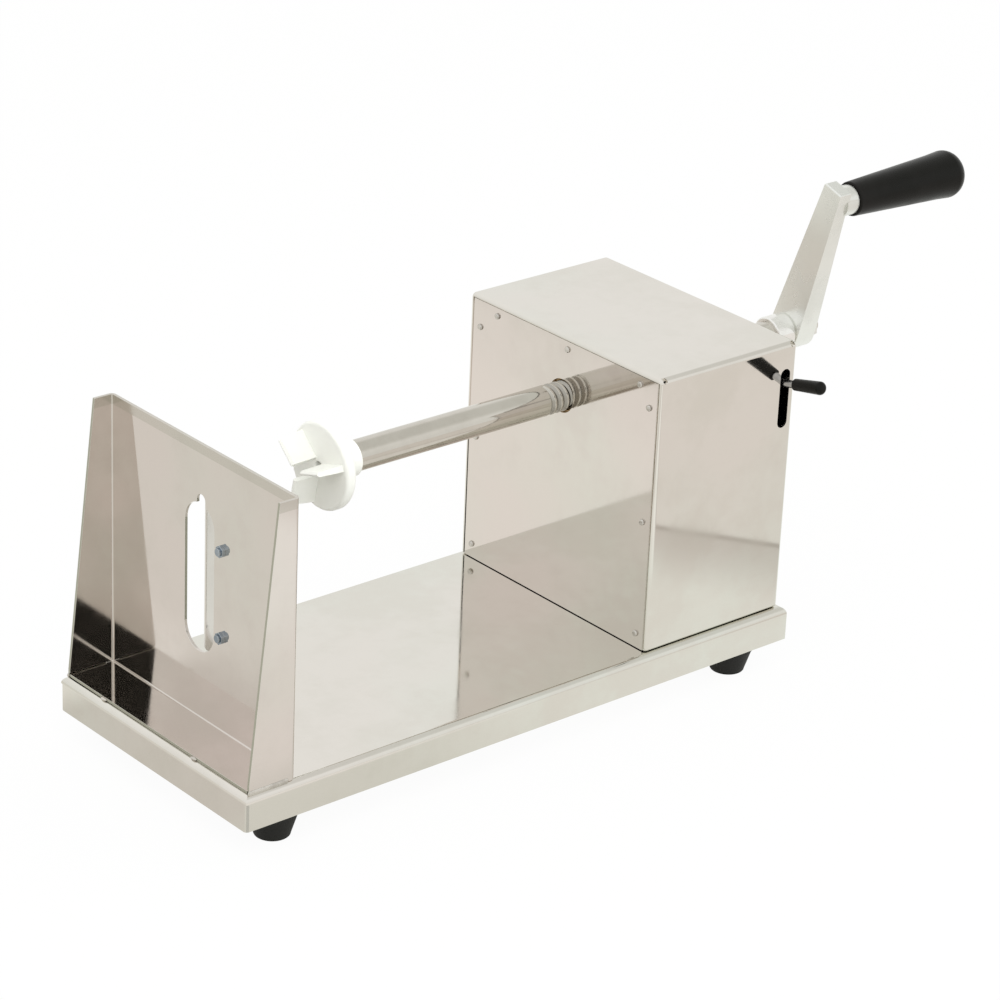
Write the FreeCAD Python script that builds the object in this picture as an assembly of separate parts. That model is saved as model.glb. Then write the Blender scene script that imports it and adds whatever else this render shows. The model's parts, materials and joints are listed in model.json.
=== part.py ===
import FreeCAD, Part
import math
import os

V = FreeCAD.Vector

# Axes: X runs along the tool towards the crank, Y across, Z up.
# The origin is on the table under the middle of the base. All sizes in mm.

# base pan and feet
base_length = 342.0
base_width = 150.0
pan_height = 18.0
sheet = 1.5
pan_bend = 4.0
pan_lip = 27.5
foot_height = 15.0
foot_top_r = 13.3
foot_bottom_r = 8.6
foot_edge = 0.8
foot_inset_x = 26.0
foot_inset_y = 14.5
foot_recess_r = 4.6
foot_recess_depth = 7.0

# screws, nuts and their clearances
screw_r = 2.0
screw_hole_r = 2.2
screw_head_r = 4.0
screw_head_t = 2.4
screw_past_nut = 1.8
nut_flats = 7.0
nut_t = 3.2
nut_fit = 0.05
panel_screw_r = 1.45
panel_screw_head_r = 2.5
panel_screw_head_t = 1.1
panel_screw_length = 5.0
panel_screw_fit = 0.15

# drive shaft and skewer bore
shaft_height = 113.5
shaft_r = 7.7
shaft_reach = 146.0
shaft_fit = 0.05
shaft_chamfer = 0.8
skewer_bore_r = 2.6
skewer_bore_depth = 150.0

# blade stand
stand_setback = 28.0
stand_side_step = 2.0
stand_height = 142.0
stand_bend = 2.5
flange_top = 10.0
flange_foot = 25.0
flange_lip = 4.0
slot_centre_y = 1.0
slot_width = 23.0
slot_length = 76.0
slot_drop = 1.5
notch_r = 3.3

# slicing blade
blade_width = 31.0
blade_t = 1.5
blade_edge_y = 3.0
blade_rise = 2.0
blade_drop = 3.6
blade_offset = 4.0
blade_corner_r = 4.0
bevel_width = 3.6
bevel_edge = 0.25
blade_screw_back = 19.7
blade_screw_low = 12.0
blade_screw_high = 15.6
spacer_r = 4.5

# gearbox cover and panels
box_length = 91.0
box_setback = 4.0
box_side_step = 3.4
box_headroom = 32.5
box_bend = 3.0
rim_bend = 2.2
sill_bend = 1.4
sill_width = 14.0
seat_gap = 0.3
rim_lip = 2.2
relief_r = 1.3
panel_inset = 0.4
panel_gap = 0.5
panel_foot_gap = 1.2
strip_width = 13.0
top_strip = 9.0
panel_screw_low = 8.0
panel_screw_high = 17.0
panel_screw_drop = 4.3
top_screw_pitch = 53.6
top_screw_shift = 2.9

# bearings
sleeve_r = 10.0
sleeve_fit = 0.05
sleeve_end_gap = 0.3
housing_r = 15.0
housing_flange = 42.0
housing_flange_t = 4.0
housing_corner_r = 6.0
housing_length = 14.0
stud_inset = 5.0
stud_head_r = 3.5
stud_head_t = 2.6
clip_t = 1.2
clip_depth = 0.9
clip_end = 1.3
clip_slit = 3.0
shaft_hole_gap = 1.1

# inner bracket
bracket_back = 35.0
bracket_t = 3.0
bracket_foot = 18.0
bracket_bend = 3.0
bracket_top_gap = 3.0
bracket_edge = 12.0
bracket_screw_y = 30.0
bracket_screw_x = 8.0

# release lever
lever_back = 7.0
lever_t = 4.0
lever_slot_w = 6.4
lever_slot_above = 7.5
lever_slot_below = 24.0
pivot_inset = 26.1
pivot_drop = 9.0
pivot_r = 3.0
pivot_fit = 0.05
pin_head_r = 5.0
pivot_clip_r = 5.2
pivot_boss_r = 9.0
pivot_tube_r = 6.0
bar_gap = 0.4
bar_width = 11.6
bar_under = 10.0
bar_over = 17.0
bar_flat = 12.0
boss_lead = 2.0
boss_trim = 0.1
neck_in = 6.0
neck_rise = 7.0
ear_side = 1.0
ear_low = 5.0
ear_high = 4.5
ear_width = 6.0
rod_r = 2.0
rod_tilt = 13.0
rod_rise = 11.5
rod_inside = 17.0
rod_outside = 26.0
knob_start = 5.2
knob_length = 24.0
knob_r0 = 3.4
knob_r1 = 3.9
knob_tip_r = 2.2
knob_bore_depth = 21.0

# half nut, spring and their small parts
nut_block_half = 11.5
nut_block_drop = 19.0
nut_block_rise = 3.9
nut_block_gap = 9.0
nut_block_edge = 1.5
nut_screw_r = 1.5
nut_screw_head_r = 2.8
nut_screw_y = 8.0
nut_screw_drop = 14.5
spring_inset = 32.1
spring_r = 3.6
spring_wire = 1.0
spring_gap = 0.3
hook_r = 1.45
hook_drop = 2.6
anchor_r = 2.0
anchor_drop = 5.0

# potato holder
disc_r = 22.0
disc_t = 6.0
disc_floor = 5.0
disc_edge = 1.8
collar_length = 13.3
collar_r0 = 10.4
collar_r1 = 9.2
prong_count = 3
prong_turn = 43.0
prong_length = 16.0
prong_t = 3.2
prong_inner = 4.2
prong_outer = 18.7
prong_draft = 0.9
prong_edge = 1.3
holder_bore_gap = 0.2
grub_r = 1.5
grub_fit = 0.05
holder_grub_x = 8.0

# crank
hub_reach = 50.0
hub_length = 12.3
hub_r = 9.7
hub_chamfer = 0.7
hub_grub_r = 2.0
stub_r = 5.0
press = 0.02
arm_lean = 17.7
arm_end = 90.0
crank_radius = 80.5
arm_half_low = 10.2
arm_half_top = 6.1
arm_t_low = 12.5
arm_t_top = 8.0
arm_foot = 9.0
arm_head = 14.0
arm_edge = 1.0
boss_r = 7.75
boss_length = 7.2
cap_flats = 14.0
cap_t = 8.0
cap_dome_r = 6.4
cap_dome_sink = 1.5
grip_gap = 0.3
grip_length = 84.0
grip_r0 = 9.0
grip_r1 = 13.0
grip_end_r = 9.5
grip_edge_r = 0.8
grip_fit = 0.1
grip_cap = 18.4
spindle_r = 4.0
spindle_seat = 2.2
spindle_head_r = 5.4
spindle_head_t = 3.0

# heights and places worked out from the sizes above
past = 1.0
half_l = base_length / 2
half_w = base_width / 2
deck_z = foot_height + pan_height
axis_z = deck_z + shaft_height
foot_x = half_l - foot_inset_x
foot_y = half_w - foot_inset_y
stand_x = -half_l + stand_setback
stand_half = half_w - stand_side_step
stand_top = deck_z + stand_height
box_x1 = half_l - box_setback
box_x0 = box_x1 - box_length
box_half = half_w - box_side_step
box_top = axis_z + box_headroom
inner_half = box_half - sheet
pivot_y = inner_half - pivot_inset
spring_y = spring_inset - inner_half
cover_low = deck_z + seat_gap
bracket_x = box_x1 - bracket_back
bracket_top = box_top - sheet - bracket_top_gap
shaft_front = box_x0 - shaft_reach
hub_x0 = box_x1 + hub_reach
hub_x1 = hub_x0 + hub_length
arm_x1 = hub_x1 + arm_t_low

os.makedirs("parts", exist_ok=True)


def box(x0, x1, y0, y1, z0, z1):
    """Box between two corners."""
    return Part.makeBox(x1 - x0, y1 - y0, z1 - z0, V(x0, y0, z0))


def rod_x(x0, x1, r, y=0.0, z=axis_z):
    """Round bar along X."""
    return Part.makeCylinder(r, x1 - x0, V(x0, y, z), V(1, 0, 0))


def rod_y(y0, y1, r, x, z):
    """Round bar along Y."""
    return Part.makeCylinder(r, y1 - y0, V(x, y0, z), V(0, 1, 0))


def rod_z(z0, z1, r, x, y):
    """Round bar along Z."""
    return Part.makeCylinder(r, z1 - z0, V(x, y, z0), V(0, 0, 1))


def hexagon(size, thick, centre, axis):
    """Hexagonal block, size across flats, lying with its base on centre."""
    r = size / 2.0 / math.cos(math.pi / 6)
    pts = [V(r * math.cos(k * math.pi / 3), r * math.sin(k * math.pi / 3), 0) for k in range(7)]
    solid = Part.Face(Part.makePolygon(pts)).extrude(V(0, 0, thick))
    solid.Placement = FreeCAD.Placement(centre, FreeCAD.Rotation(V(0, 0, 1), axis))
    return solid


def prism(points, way):
    """Straight-sided solid: a closed outline pushed along one direction."""
    return Part.Face(Part.makePolygon(points + [points[0]])).extrude(way)


def edges_where(shape, test):
    """Edges whose middle point passes the test."""
    return [e for e in shape.Edges if test(e.BoundBox.Center, e)]


def along(edge, axis, least):
    """True when an edge runs along one axis for at least this length."""
    size = edge.BoundBox
    lengths = {"x": size.XLength, "y": size.YLength, "z": size.ZLength}
    others = [lengths[a] for a in lengths if a != axis]
    return lengths[axis] > least and max(others) < 0.01


def near(a, b, tol=0.05):
    return abs(a - b) < tol


def flat_x(edge, x):
    """True for an edge that lies in the plane of this x."""
    return near(edge.BoundBox.XMin, x) and near(edge.BoundBox.XMax, x)


def flat_z(edge, z):
    """True for an edge that lies in the plane of this z."""
    return near(edge.BoundBox.ZMin, z) and near(edge.BoundBox.ZMax, z)


def save(name, shape):
    if isinstance(shape, list):
        shape = Part.makeCompound(shape)
    shape.exportStep("parts/" + name + ".step")


# Base pan: deck, four turned-down sides and two inward lips that carry the feet.
pan = box(-half_l, half_l, -half_w, half_w, foot_height, deck_z)
pan = pan.makeFillet(pan_bend, edges_where(pan, lambda c, e: near(c.z, deck_z)))
room = box(-half_l + sheet, half_l - sheet, -half_w + sheet, half_w - sheet,
           foot_height - past, deck_z - sheet)
room = room.makeFillet(pan_bend - sheet, edges_where(room, lambda c, e: near(c.z, deck_z - sheet)))
pan = pan.cut(room)
lip_in = half_w - sheet - pan_lip
for y0, y1 in ((-half_w + sheet, -lip_in), (lip_in, half_w - sheet)):
    pan = pan.fuse(box(-half_l + sheet, half_l - sheet, y0, y1, foot_height, foot_height + sheet))
pan = pan.removeSplitter()
foot_places = [(sx * foot_x, sy * foot_y) for sx in (-1, 1) for sy in (-1, 1)]
cover_screw_y = inner_half - sill_width / 2
cover_screw_x = (box_x0 + sill_width + sheet, box_x1 - sill_width - sheet)
cover_screw_places = [(x, sy * cover_screw_y) for x in cover_screw_x for sy in (-1, 1)]
bracket_screw_places = [(bracket_x - bracket_screw_x, sy * bracket_screw_y) for sy in (-1, 1)]
cuts = [rod_z(foot_height - past, foot_height + sheet + past, screw_hole_r, x, y) for x, y in foot_places]
cuts += [rod_z(deck_z - sheet - past, deck_z + past, screw_hole_r, x, y)
         for x, y in cover_screw_places + bracket_screw_places]
save("base_pan", pan.cut(cuts))


# Rubber feet: tapered, each with a sunk screw, held by a nut on the lip.
def foot(x, y):
    body = Part.makeCone(foot_bottom_r, foot_top_r, foot_height, V(x, y, 0), V(0, 0, 1))
    body = body.makeChamfer(foot_edge, edges_where(body, lambda c, e: flat_z(e, 0)))
    return body.cut([rod_z(-past, foot_height + past, screw_hole_r, x, y),
                     rod_z(-past, foot_recess_depth, foot_recess_r, x, y)])


foot_names = ("foot_front_right", "foot_front_left", "foot_rear_right", "foot_rear_left")
for name, (x, y) in zip(foot_names, foot_places):
    save(name, foot(x, y))


def upright_screw(x, y, z_head, z_tip):
    """Screw pointing up, with the top of its head at z_head and a coned underside."""
    chamfer = screw_head_t / 2
    head = rod_z(z_head - chamfer, z_head, screw_head_r, x, y)
    cone = Part.makeCone(screw_head_r - chamfer, screw_head_r, chamfer,
                         V(x, y, z_head - screw_head_t), V(0, 0, 1))
    return head.fuse([cone, rod_z(z_head, z_tip, screw_r, x, y)]).removeSplitter()


def upright_nut(x, y, z):
    body = hexagon(nut_flats, nut_t, V(x, y, z), V(0, 0, 1))
    return body.cut(rod_z(z - past, z + nut_t + past, screw_r + nut_fit, x, y))


lip_top = foot_height + sheet
save("foot_screws", [upright_screw(x, y, foot_recess_depth, lip_top + nut_t + screw_past_nut)
                     for x, y in foot_places])
save("foot_nuts", [upright_nut(x, y, lip_top) for x, y in foot_places])

# Blade stand: one bent sheet with a slotted plate, two tapered side flanges and a foot flange.
plate_back = stand_x + sheet
side_outline = [
    V(plate_back, -stand_half, deck_z),
    V(stand_x - flange_foot, -stand_half, deck_z),
    V(stand_x - flange_foot, -stand_half, deck_z + flange_lip),
    V(stand_x - flange_top, -stand_half, stand_top),
    V(plate_back, -stand_half, stand_top),
]
stand = prism(side_outline, V(0, 2 * stand_half, 0))
stand = stand.makeFillet(stand_bend, edges_where(stand, lambda c, e: near(c.x, plate_back) and not flat_z(
    e, stand_top)))
room = box(stand_x - flange_foot - past, stand_x, -stand_half + sheet, stand_half - sheet,
           deck_z + sheet, stand_top + past)
room = room.makeFillet(stand_bend - sheet, edges_where(room, lambda c, e: near(c.x, stand_x) and not flat_z(
    e, stand_top + past)))
stand = stand.cut(room)
# open seams where the side flanges pass the foot flange
seam = 0.6
for y0 in (-stand_half + sheet - seam, stand_half - sheet):
    stand = stand.cut(box(stand_x - flange_foot - past, stand_x - stand_bend - sheet, y0, y0 + seam,
                          deck_z - past, deck_z + sheet + seam))
slot_high = axis_z - slot_drop
slot_low = slot_high - slot_length
slot_r = slot_width / 2
plate_cut = (stand_x - past, plate_back + past)
slot = box(*plate_cut, slot_centre_y - slot_r, slot_centre_y + slot_r, slot_low + slot_r, slot_high - slot_r)
slot = slot.fuse([rod_x(*plate_cut, slot_r, slot_centre_y, z) for z in (slot_low + slot_r, slot_high - slot_r)])
stand = stand.cut(slot)
# round notch above the slot, where the skewer passes
stand = stand.cut(rod_x(*plate_cut, notch_r))
stand = stand.cut(box(*plate_cut, -notch_r, notch_r, slot_high - slot_r / 2, axis_z))
blade_low = slot_low + blade_rise
blade_high = axis_z - blade_drop
blade_screw_y = blade_edge_y - blade_screw_back
blade_screw_z = (blade_low + blade_screw_low, blade_high - blade_screw_high)
stand = stand.cut([rod_x(*plate_cut, screw_hole_r, blade_screw_y, z) for z in blade_screw_z])
save("blade_stand", stand)

# Slicing blade: flat, held off the plate by one slice thickness, ground on its front edge.
blade_x0 = plate_back + blade_offset
blade_x1 = blade_x0 + blade_t
blade_y0 = blade_edge_y - blade_width
blade = box(blade_x0, blade_x1, blade_y0, blade_edge_y, blade_low, blade_high)
corners = edges_where(blade, lambda c, e: along(e, "x", blade_t / 2) and near(c.y, blade_y0))
blade = blade.makeFillet(blade_corner_r, corners)
bevel_outline = [
    V(blade_x1 - bevel_edge, blade_edge_y + past, blade_low - past),
    V(blade_x0 - past, blade_edge_y + past, blade_low - past),
    V(blade_x0 - past, blade_edge_y - bevel_width, blade_low - past),
    V(blade_x0, blade_edge_y - bevel_width, blade_low - past),
    V(blade_x1 - bevel_edge, blade_edge_y, blade_low - past),
]
blade = blade.cut(prism(bevel_outline, V(0, 0, blade_high - blade_low + 2 * past)))
blade = blade.cut([rod_x(blade_x0 - past, blade_x1 + past, screw_hole_r, blade_screw_y, z)
                   for z in blade_screw_z])
save("slicing_blade", blade)
save("blade_spacers", [rod_x(plate_back, blade_x0, spacer_r, blade_screw_y, z).cut(
    rod_x(plate_back - past, blade_x0 + past, screw_hole_r, blade_screw_y, z)) for z in blade_screw_z])


def screw_x(x_head, x_tip, head_r, head_t, shank_r, y, z):
    """Screw along X with a coned head that stands away from the tip."""
    way = 1.0 if x_tip > x_head else -1.0
    chamfer = head_t / 2
    x_mid = x_head - way * chamfer
    head = rod_x(min(x_head, x_mid), max(x_head, x_mid), head_r, y, z)
    cone = Part.makeCone(head_r, head_r - chamfer, chamfer, V(x_mid, y, z), V(-way, 0, 0))
    shank = rod_x(min(x_head, x_tip), max(x_head, x_tip), shank_r, y, z)
    return head.fuse([cone, shank]).removeSplitter()


def nut_x(x, y, z):
    """Nut along X, from x to one nut thickness further towards the crank."""
    body = hexagon(nut_flats, nut_t, V(x, y, z), V(1, 0, 0))
    return body.cut(rod_x(x - past, x + nut_t + past, screw_r + nut_fit, y, z))


blade_screw_tip = stand_x - nut_t - screw_past_nut
save("blade_screws", [screw_x(blade_x1, blade_screw_tip, screw_head_r, screw_head_t, screw_r, blade_screw_y, z)
                      for z in blade_screw_z])
save("blade_nuts", [nut_x(stand_x - nut_t, blade_screw_y, z) for z in blade_screw_z])

# Gearbox cover: top and two sides in one sheet, its open ends turned in to a narrow rim.
cover = box(box_x0, box_x1, -box_half, box_half, cover_low, box_top)
cover = cover.makeFillet(box_bend, edges_where(cover, lambda c, e: near(c.z, box_top) and along(e, "x", past)))
rim = edges_where(cover, lambda c, e: (flat_x(e, box_x0) or flat_x(e, box_x1)) and not flat_z(e, cover_low))
cover = cover.makeFillet(rim_bend, rim)
sills = edges_where(cover, lambda c, e: near(c.z, cover_low) and along(e, "x", box_length / 2))
cover = cover.makeFillet(sill_bend, sills)
room = box(box_x0 + sheet, box_x1 - sheet, -inner_half, inner_half, cover_low + sheet, box_top - sheet)
room = room.makeFillet(box_bend - sheet, edges_where(room, lambda c, e: near(c.z, box_top - sheet)
                                                     and along(e, "x", past)))
cover = cover.cut(room)
panel_x = {"front": box_x0 + panel_inset, "rear": box_x1 - panel_inset - sheet}
strip_x = {"front": panel_x["front"] + sheet, "rear": panel_x["rear"] - sheet}
mouth = box_half - rim_lip
mouth_top = box_top - rim_lip
for x0, x1 in ((box_x0 - past, strip_x["front"]), (panel_x["rear"], box_x1 + past)):
    cover = cover.cut(box(x0, x1, -mouth, mouth, cover_low - past, mouth_top))
sill_in = inner_half - sill_width
cover = cover.cut(box(box_x0 - past, box_x1 + past, -sill_in, sill_in, cover_low - past,
                      cover_low + sheet + past))
# inner strips that the panels are screwed to
strip_in = inner_half - strip_width
for x0 in strip_x.values():
    strips = box(x0, x0 + sheet, -inner_half, inner_half, cover_low, box_top - sheet)
    hole = box(x0 - past, x0 + sheet + past, -strip_in, strip_in, cover_low - past,
               box_top - sheet - top_strip)
    cover = cover.fuse(strips.cut(hole))
# slot for the lever's rod in the side that faces the user
lever_x = box_x1 - lever_back
rod_wall_z = axis_z + rod_rise
slot_r = lever_slot_w / 2
slot_ends = (rod_wall_z - lever_slot_below + slot_r, rod_wall_z + lever_slot_above - slot_r)
wall_cut = (-box_half - past, -inner_half + past)
slot = box(lever_x - slot_r, lever_x + slot_r, *wall_cut, *slot_ends)
slot = slot.fuse([rod_y(*wall_cut, slot_r, lever_x, z) for z in slot_ends])
cover = cover.cut(slot)
# relief holes where the side bend meets the turned rim
for x in (box_x0 + box_bend, box_x1 - box_bend):
    for y0, y1 in ((-box_half - past, -mouth), (mouth, box_half + past)):
        cover = cover.cut(rod_y(y0, y1, relief_r, x, box_top - relief_r))
cover = cover.cut([rod_z(cover_low - past, cover_low + sheet + past, screw_hole_r, x, y)
                   for x, y in cover_screw_places])
side_screw_z = (deck_z + panel_screw_low, (deck_z + panel_screw_low + box_top - panel_screw_high) / 2,
                box_top - panel_screw_high)
side_screw_y = inner_half - strip_width / 2
panel_top = mouth_top - panel_gap
panel_screws = [(sy * side_screw_y, z) for sy in (-1, 1) for z in side_screw_z]
panel_screws += [(k * top_screw_pitch - top_screw_shift, panel_top - panel_screw_drop) for k in (-1, 0, 1)]
facing = {"front": 1.0, "rear": -1.0}
for end, x0 in strip_x.items():
    cover = cover.cut([rod_x(x0 - past, x0 + sheet + past, panel_screw_r + nut_fit, facing[end] * y, z)
                       for y, z in panel_screws])
save("gearbox_cover", cover.removeSplitter())

# Front and rear panels, each inside the cover's rim with an even gap round it.
stud_offset = housing_flange / 2 - stud_inset
stud_places = [(sy * stud_offset, axis_z + sz * stud_offset) for sy in (-1, 1) for sz in (-1, 1)]
for end, x0 in panel_x.items():
    panel = box(x0, x0 + sheet, -mouth + panel_gap, mouth - panel_gap, deck_z + panel_foot_gap, panel_top)
    panel = panel.cut(rod_x(x0 - past, x0 + sheet + past, shaft_r + shaft_hole_gap))
    panel = panel.cut([rod_x(x0 - past, x0 + sheet + past, panel_screw_r + panel_screw_fit, facing[end] * y, z)
                       for y, z in panel_screws])
    if end == "front":
        # blind holes on the inside for the bearing's studs
        panel = panel.cut([rod_x(x0 + sheet / 2, x0 + sheet + past, screw_r + nut_fit, y, z)
                           for y, z in stud_places])
    save("gearbox_" + end + "_panel", panel)
    face = x0 if end == "front" else x0 + sheet
    tip = face + facing[end] * panel_screw_length
    save(end + "_panel_screws", [screw_x(face, tip, panel_screw_head_r, panel_screw_head_t, panel_screw_r,
                                         facing[end] * y, z) for y, z in panel_screws])


# Screws that hold the cover and the inner bracket down on the deck.
def deck_fasteners(kind, places, seat):
    tip = seat + nut_t + screw_past_nut
    save(kind + "_screws", [upright_screw(x, y, deck_z - sheet, tip) for x, y in places])
    save(kind + "_nuts", [upright_nut(x, y, seat) for x, y in places])


deck_fasteners("cover", cover_screw_places, cover_low + sheet)
deck_fasteners("bracket", bracket_screw_places, deck_z + bracket_t)

# Inner bracket: a bent plate standing on the deck; it carries the rear bearing, lever and spring.
pivot_z = axis_z - pivot_drop
anchor_z = bracket_top - anchor_drop
bracket_y = (spring_y - bracket_edge, pivot_y + bracket_edge)
bracket_x1 = bracket_x + bracket_t
bracket = box(bracket_x, bracket_x1, *bracket_y, deck_z, bracket_top)
bracket = bracket.fuse(box(bracket_x - bracket_foot, bracket_x1, *bracket_y, deck_z, deck_z + bracket_t))
bracket = bracket.removeSplitter()
bend = edges_where(bracket, lambda c, e: near(c.x, bracket_x1) and flat_z(e, deck_z))
bracket = bracket.makeFillet(bracket_bend, bend)
through = (bracket_x - past, bracket_x1 + past)
bracket = bracket.cut(rod_x(*through, shaft_r + shaft_hole_gap))
bracket = bracket.cut([rod_x(*through, screw_hole_r, y, z) for y, z in stud_places])
bracket = bracket.cut(rod_x(*through, pivot_r + pivot_fit, pivot_y, pivot_z))
bracket = bracket.cut(rod_x(*through, anchor_r + nut_fit, spring_y, anchor_z))
bracket = bracket.cut([rod_z(deck_z - past, deck_z + bracket_t + past, screw_hole_r, x, y)
                       for x, y in bracket_screw_places])
save("inner_bracket", bracket)


# Bearing housings with turning bronze sleeves, held in by clips.
def span(x_seat, way, near_end, far_end):
    """Lower and upper x of a stretch measured from a seat, along way."""
    return sorted((x_seat + way * near_end, x_seat + way * far_end))


clip_x0 = housing_length - clip_end - clip_t


def housing(x_seat, way):
    """Flanged bearing housing: the flange sits at x_seat and the boss points along way."""
    h = housing_flange / 2
    body = box(*span(x_seat, way, 0, housing_flange_t), -h, h, axis_z - h, axis_z + h)
    body = body.makeFillet(housing_corner_r, edges_where(body, lambda c, e: along(e, "x", past)))
    body = body.fuse(rod_x(*span(x_seat, way, 0, housing_length), housing_r)).removeSplitter()
    bore = span(x_seat, way, -past, housing_length + past)
    body = body.cut(rod_x(*bore, sleeve_r + sleeve_fit))
    body = body.cut([rod_x(*bore, screw_hole_r, y, z) for y, z in stud_places])
    groove = span(x_seat, way, clip_x0 - sleeve_fit, clip_x0 + clip_t + sleeve_fit)
    return body.cut(rod_x(*groove, sleeve_r + clip_depth + sleeve_fit))


def sleeve(x_seat, way):
    ends = span(x_seat, way, sleeve_end_gap, clip_x0 - sleeve_end_gap)
    return rod_x(*ends, sleeve_r).cut(rod_x(ends[0] - past, ends[1] + past, shaft_r + shaft_fit))


def clip(x_seat, way):
    ends = span(x_seat, way, clip_x0, clip_x0 + clip_t)
    wide = (ends[0] - past, ends[1] + past)
    ring = rod_x(*ends, sleeve_r + clip_depth).cut(rod_x(*wide, shaft_r + shaft_hole_gap))
    return ring.cut(box(*wide, -clip_slit / 2, clip_slit / 2, axis_z - housing_r, axis_z))


front_seat = panel_x["front"] + sheet
rear_seat = bracket_x
save("front_bearing_housing", housing(front_seat, 1))
save("rear_bearing_housing", housing(rear_seat, -1))
save("front_bearing_sleeve", sleeve(front_seat, 1))
save("rear_bearing_sleeve", sleeve(rear_seat, -1))
save("bearing_clips", [clip(front_seat, 1), clip(rear_seat, -1)])
front_stud_tip = front_seat - sheet / 2
save("front_bearing_screws", [screw_x(front_seat + housing_flange_t, front_stud_tip, stud_head_r, stud_head_t,
                                      screw_r, y, z) for y, z in stud_places])
rear_stud_tip = bracket_x1 + nut_t + past / 2
save("rear_bearing_screws", [screw_x(rear_seat - housing_flange_t, rear_stud_tip, stud_head_r, stud_head_t,
                                     screw_r, y, z) for y, z in stud_places])
save("rear_bearing_nuts", [nut_x(bracket_x1, y, z) for y, z in stud_places])

# Release lever: pivoted plate under the shaft, a pivot tube and a tilted rod through the slot.
lever_x0 = lever_x - lever_t / 2
lever_x1 = lever_x + lever_t / 2
tilt = math.radians(rod_tilt)
rod_way = V(0, -math.cos(tilt), math.sin(tilt))
wall_point = V(lever_x, -box_half, rod_wall_z)
rod_start = wall_point - rod_way * rod_inside
rod_end = wall_point + rod_way * rod_outside
bar_top = pivot_z - bar_gap
bar_low = bar_top - bar_width
lever_outline = [
    (pivot_y + boss_lead, pivot_z - pivot_boss_r),
    (-bar_under, bar_low),
    (rod_start.y - ear_side, rod_start.z - ear_low),
    (rod_start.y - ear_side, rod_start.z + ear_high),
    (rod_start.y + ear_width, rod_start.z + ear_high),
    (-bar_over, bar_top),
    (bar_flat, bar_top),
    (pivot_y - neck_in, pivot_z + neck_rise),
    (pivot_y, pivot_z + pivot_boss_r - boss_trim),
]
lever = prism([V(lever_x0, y, z) for y, z in lever_outline], V(lever_t, 0, 0))
lever = lever.fuse(rod_x(lever_x0, lever_x1, pivot_boss_r, pivot_y, pivot_z)).removeSplitter()
lever = lever.fuse(rod_x(bracket_x1 + 2 * spring_gap, lever_x0, pivot_tube_r, pivot_y, pivot_z))
rod = Part.makeCylinder(rod_r, (rod_end - rod_start).Length, rod_start, rod_way)
lever = lever.fuse(rod).removeSplitter()
lever = lever.cut(rod_x(bracket_x, lever_x1 + past, pivot_r + pivot_fit, pivot_y, pivot_z))
nut_screw_places = [(sy * nut_screw_y, axis_z - nut_screw_drop) for sy in (-1, 1)]
lever_cut = (lever_x0 - past, lever_x1 + past)
lever = lever.cut([rod_x(*lever_cut, nut_screw_r + nut_fit, y, z) for y, z in nut_screw_places])
hook_z = axis_z - hook_drop
lever = lever.cut(rod_x(*lever_cut, hook_r + nut_fit, spring_y, hook_z))
save("release_lever", lever)

# Black push knob on the lever rod, a little wider at its outer end.
knob_root = wall_point + rod_way * knob_start
knob = Part.makeCone(knob_r0, knob_r1, knob_length, knob_root, rod_way)
knob_tip = knob_root + rod_way * knob_length
knob = knob.makeFillet(knob_tip_r, edges_where(knob, lambda c, e: (c - knob_tip).Length < past / 2))
bore = Part.makeCylinder(rod_r + press, knob_bore_depth + past, knob_root - rod_way * past, rod_way)
save("lever_knob", knob.cut(bore))

# Half nut: bronze saddle that meets the shaft thread from below.
nut_x0 = bracket_x1 + nut_block_gap
half_nut = box(nut_x0, lever_x0, -nut_block_half, nut_block_half, axis_z - nut_block_drop,
               axis_z - nut_block_rise)
low = edges_where(half_nut, lambda c, e: along(e, "x", past) and c.z < axis_z - nut_block_drop + past)
half_nut = half_nut.makeFillet(nut_block_edge, low)
half_nut = half_nut.cut(rod_x(nut_x0 - past, lever_x0 + past, shaft_r + shaft_fit))
nut_screw_tip = (nut_x0 + lever_x0) / 2
half_nut = half_nut.cut([rod_x(nut_screw_tip - past, lever_x0 + past, nut_screw_r + nut_fit, y, z)
                         for y, z in nut_screw_places])
save("half_nut", half_nut)
save("half_nut_screws", [screw_x(lever_x1, nut_screw_tip, nut_screw_head_r, nut_screw_r, nut_screw_r, y, z)
                         for y, z in nut_screw_places])

# Pivot pin with its clip, spring posts and the return spring.
pin_end = lever_x1 + clip_t + past
pin = rod_x(bracket_x - bracket_t, bracket_x, pin_head_r, pivot_y, pivot_z)
pin = pin.fuse(rod_x(bracket_x, pin_end, pivot_r, pivot_y, pivot_z)).removeSplitter()
neck = (lever_x1 + spring_gap, lever_x1 + spring_gap + clip_t)
pin = pin.cut(rod_x(*neck, pivot_r + past, pivot_y, pivot_z).cut(
    rod_x(neck[0] - past, neck[1] + past, pivot_r - clip_depth + nut_fit, pivot_y, pivot_z)))
save("lever_pivot_pin", pin)
e_clip = rod_x(neck[0] + nut_fit, neck[1] - nut_fit, pivot_clip_r, pivot_y, pivot_z)
e_clip = e_clip.cut(rod_x(neck[0] - past, neck[1] + past, pivot_r - clip_depth + 2 * nut_fit, pivot_y, pivot_z))
e_clip = e_clip.cut(box(neck[0] - past, neck[1] + past, pivot_y - clip_slit / 2, pivot_y + clip_slit / 2,
                        pivot_z - 3 * pivot_r, pivot_z))
save("pivot_clip", e_clip)
spring_x = lever_x0 - spring_r - past
save("spring_anchor", rod_x(bracket_x - past, spring_x + spring_r + past, anchor_r, spring_y, anchor_z))
save("spring_hook", rod_x(spring_x - spring_r - past / 2, lever_x1 + past / 2, hook_r, spring_y, hook_z))
spring_z = (hook_z + hook_r + spring_gap, anchor_z - anchor_r - spring_gap)
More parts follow.
